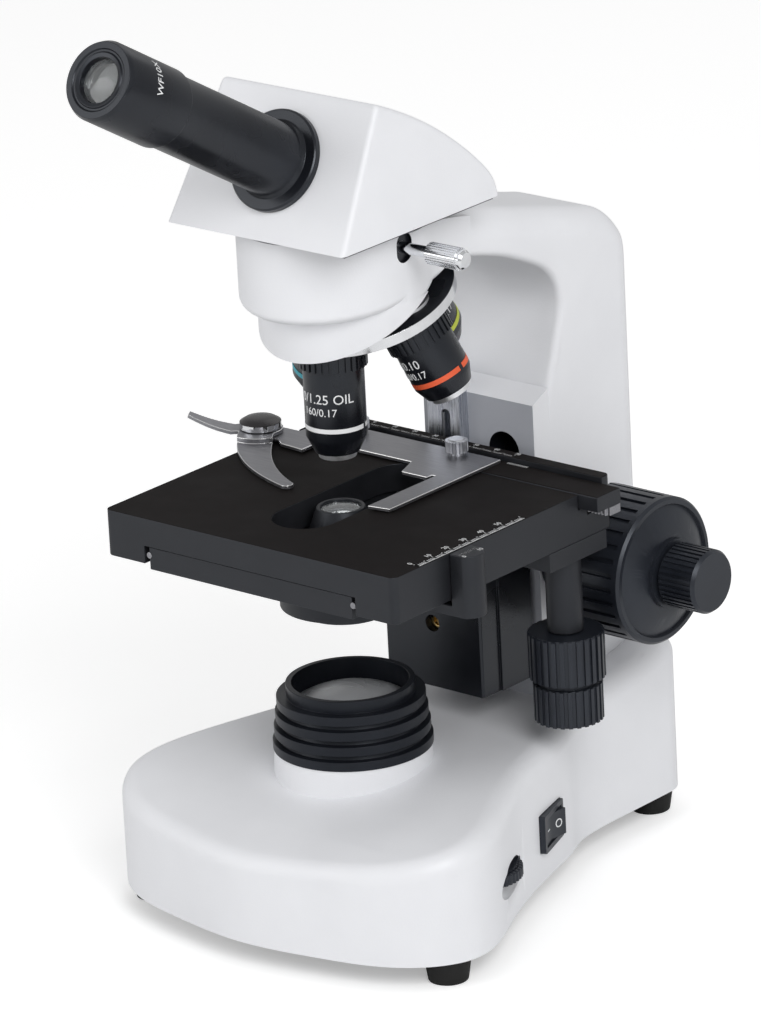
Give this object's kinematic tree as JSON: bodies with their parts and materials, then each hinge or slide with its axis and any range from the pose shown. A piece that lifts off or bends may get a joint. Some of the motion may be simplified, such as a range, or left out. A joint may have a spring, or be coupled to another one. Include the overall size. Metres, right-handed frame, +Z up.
{
  "type": "microscope",
  "caption": "Upright monocular compound microscope with an inclined eyepiece, turning nosepiece, rack-driven mechanical stage, condenser, coaxial focus knobs and a lit, waisted base.",
  "frame": {"origin": "centre of the whole instrument's footprint, on the table", "axes": "+Z up, -Y towards the user and the eyepiece, +X to the user's right, where the stage drive is"},
  "size_m": [0.1948, 0.2718, 0.3644],
  "materials": {
    "white_paint": "satin",
    "black_anodised": "satin black anodised",
    "black_paint": "satin",
    "black_plastic": "fine satin",
    "rubber": "matte",
    "steel": "satin",
    "chrome": "polished",
    "brass": "satin",
    "glass": "clear"
  },
  "bodies": {
    "stand": {"base_casting": "white_paint", "bottom_cover": "black_paint", "rubber_feet": "rubber", "cover_screws": "chrome", "switch_bezel": "black_plastic", "dimmer_pot": "black_plastic", "power_inlet": "black_plastic", "lamp_socket": "black_plastic", "lamp_bulb": "glass", "lamp_housing": "black_paint", "collector_lens": "glass", "arm_casting": "white_paint", "focus_rail": "chrome", "focus_bushes": "brass", "turret_pivot": "chrome", "head_seat": "black_paint"},
    "focus": {"focus_carrier": "black_paint", "focus_rack": "steel", "stage_guide": "black_anodised", "ball_races": "steel", "vernier_post": "black_anodised", "y_rack": "steel", "condenser_ring": "black_anodised"},
    "stage_y": {"stage_plate": "black_anodised", "drive_bracket": "black_anodised", "drive_sleeve": "black_anodised"},
    "stage_x": {"carriage_bar": "black_anodised", "x_rack": "steel", "slide_holder": "steel", "holder_screws": "chrome", "clip_pivot": "chrome"},
    "clip": {"slide_clip": "steel"},
    "x_knob": {"x_knob": "black_plastic"},
    "y_knob": {"y_knob": "black_plastic"},
    "coarse_focus": {"coarse_shaft": "steel", "coarse_knob_right": "black_plastic", "coarse_knob_left": "black_plastic"},
    "fine_focus": {"fine_shaft": "steel", "fine_knob_right": "black_plastic", "fine_knob_left": "black_plastic"},
    "condenser": {"condenser": "black_anodised", "condenser_lens": "glass"},
    "iris": {"iris_ring": "black_plastic"},
    "condenser_clamp": {"condenser_clamp": "chrome"},
    "turret": {"turret_disc": "chrome", "objective_100x": "black_paint", "objective_4x": "black_paint", "objective_10x": "black_paint", "objective_40x": "black_paint"},
    "head": {"head_casting": "white_paint", "prism": "glass", "eyepiece_tube": "black_paint"},
    "eyepiece": {"eyepiece": "black_paint", "eye_lens": "glass", "field_lens": "glass"},
    "head_screw": {"head_screw": "chrome"},
    "rocker": {"rocker": "black_plastic"},
    "dimmer": {"dimmer_wheel": "black_plastic"}
  },
  "joints": [
    {"name": "focus_slide", "type": "slide", "parent": "stand", "child": "focus", "axis": [0, 0, 1], "range_m": [-0.008, 0.015]},
    {"name": "coarse_turn", "type": "hinge", "parent": "stand", "child": "coarse_focus", "pos_m": [0, 0.0875, 0.117], "axis": [1, 0, 0], "range_deg": [-150, 80]},
    {"name": "fine_turn", "type": "hinge", "parent": "stand", "child": "fine_focus", "pos_m": [0, 0.0875, 0.117], "axis": [1, 0, 0], "continuous": true},
    {"name": "stage_y_slide", "type": "slide", "parent": "focus", "child": "stage_y", "axis": [0, 1, 0], "range_m": [-0.035, 0.001]},
    {"name": "y_knob_turn", "type": "hinge", "parent": "stage_y", "child": "y_knob", "pos_m": [0.06, 0.0425, 0.096], "axis": [0, 0, 1], "range_deg": [-340, 15]},
    {"name": "stage_x_slide", "type": "slide", "parent": "stage_y", "child": "stage_x", "axis": [1, 0, 0], "range_m": [-0.012, 0.055]},
    {"name": "x_knob_turn", "type": "hinge", "parent": "stage_y", "child": "x_knob", "pos_m": [0.06, 0.0425, 0.078], "axis": [0, 0, 1], "range_deg": [-640, 145]},
    {"name": "clip_swing", "type": "hinge", "parent": "stage_x", "child": "clip", "pos_m": [-0.0736, 0.028, 0.164], "axis": [0, 0, 1], "range_deg": [-40, 0], "stiffness_Nm_per_rad": 0.03, "springref_deg": 28.65},
    {"name": "condenser_slide", "type": "slide", "parent": "focus", "child": "condenser", "axis": [0, 0, 1], "range_m": [-0.006, 0]},
    {"name": "iris_turn", "type": "hinge", "parent": "condenser", "child": "iris", "pos_m": [0, -0.012, 0.11985], "axis": [0, 0, 1], "range_deg": [-30, 30]},
    {"name": "condenser_clamp_turn", "type": "hinge", "parent": "focus", "child": "condenser_clamp", "pos_m": [-0.03, -0.012, 0.128], "axis": [-1, 0, 0], "range_deg": [0, 360]},
    {"name": "turret_turn", "type": "hinge", "parent": "stand", "child": "turret", "pos_m": [0, 0.00799, 0.23049], "axis": [0, 0.309, -0.9511], "continuous": true},
    {"name": "head_turn", "type": "hinge", "parent": "stand", "child": "head", "pos_m": [0, -0.012, 0.273], "axis": [0, 0, 1], "continuous": true},
    {"name": "eyepiece_slide", "type": "slide", "parent": "head", "child": "eyepiece", "axis": [0, -0.8616, 0.5075], "range_m": [0, 0.03]},
    {"name": "head_screw_turn", "type": "hinge", "parent": "stand", "child": "head_screw", "pos_m": [0.05, -0.007, 0.2635], "axis": [1, 0, 0], "range_deg": [0, 360]},
    {"name": "rocker_tip", "type": "hinge", "parent": "stand", "child": "rocker", "pos_m": [0.05404, 0.03221, 0.029], "axis": [0, 0, 1], "range_deg": [0, 20]},
    {"name": "dimmer_turn", "type": "hinge", "parent": "stand", "child": "dimmer", "pos_m": [0.06033, -0.01324, 0.028], "axis": [0, 0, 1], "range_deg": [0, 270]}
  ],
  "couplings": [
    {"joint": "coarse_turn", "follows": "focus_slide", "rad_per_m": -166.67},
    {"joint": "y_knob_turn", "follows": "stage_y_slide", "rad_per_m": 166.67},
    {"joint": "x_knob_turn", "follows": "stage_x_slide", "rad_per_m": -200}
  ]
}
